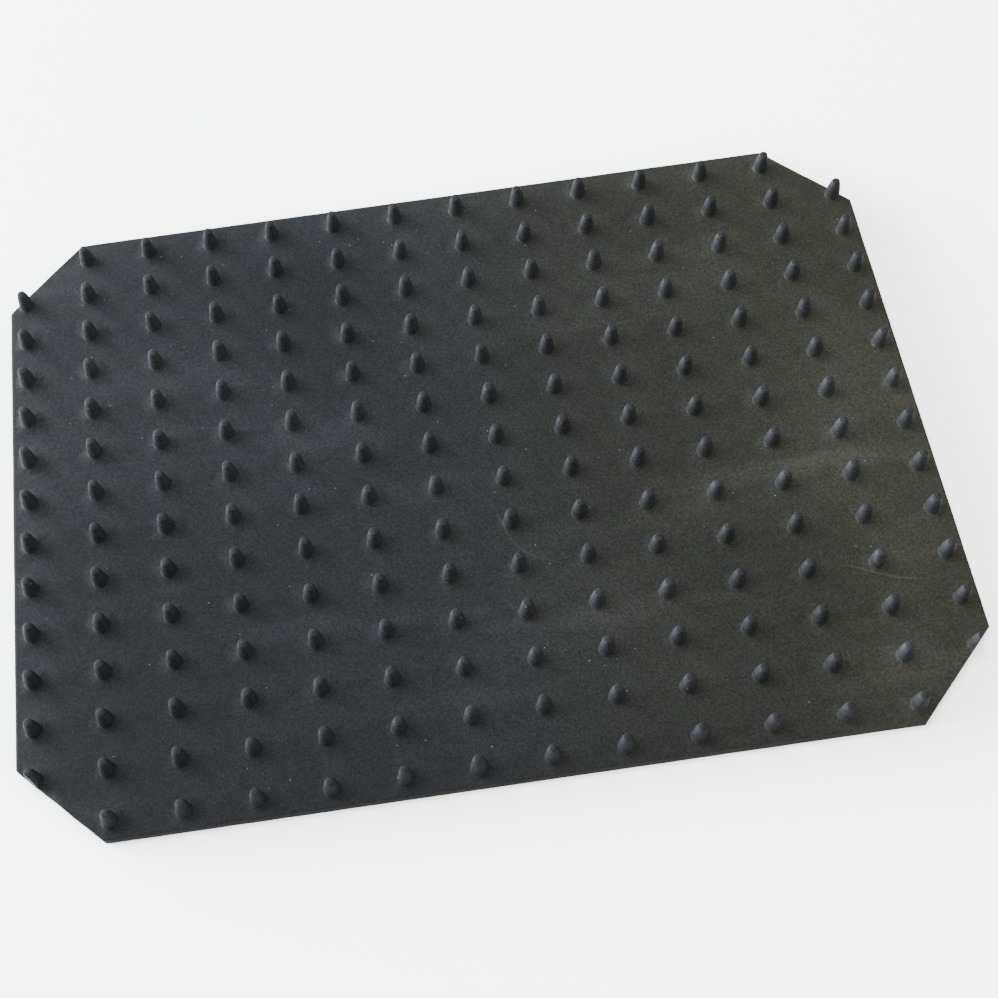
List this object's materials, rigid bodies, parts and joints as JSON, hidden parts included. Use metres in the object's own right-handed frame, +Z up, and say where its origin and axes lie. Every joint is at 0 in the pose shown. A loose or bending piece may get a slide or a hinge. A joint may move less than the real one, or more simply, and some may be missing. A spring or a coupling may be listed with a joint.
{
  "type": "seedling heat mat",
  "caption": "Flat bonded rubber heat mat with cut corners and a field of tapered pins that hold seed trays clear of the warm face.",
  "frame": {"origin": "middle of the mat's underside, on the surface it lies on", "axes": "+X along the long side, +Y towards the rear edge with the cord gland, +Z up out of the pinned face"},
  "size_m": [0.3436, 0.253, 0.0129],
  "materials": {
    "rubber_top": "moulded, dull",
    "rubber_bottom": "moulded, dull",
    "rubber_gland": "moulded, satin",
    "felt": "needled felt",
    "wire_silicone": "satin",
    "scrim": "woven glass",
    "foil": "bright foil",
    "limiter_case": "matt",
    "tinned_brass": "satin",
    "live_brown": "satin",
    "neutral_blue": "satin",
    "earth_green": "satin"
  },
  "bodies": {
    "root": {"cover_top": "rubber_top", "cover_bottom": "rubber_bottom", "cord_gland": "rubber_gland", "insulation_felt": "felt", "heating_wire": "wire_silicone", "glass_scrim": "scrim", "earth_foil": "foil", "thermal_limiter": "limiter_case", "limiter_tail": "wire_silicone", "crimp_live": "tinned_brass", "crimp_neutral": "tinned_brass", "crimp_earth": "tinned_brass", "lead_live": "live_brown", "lead_neutral": "neutral_blue", "lead_earth": "earth_green"}
  },
  "joints": []
}
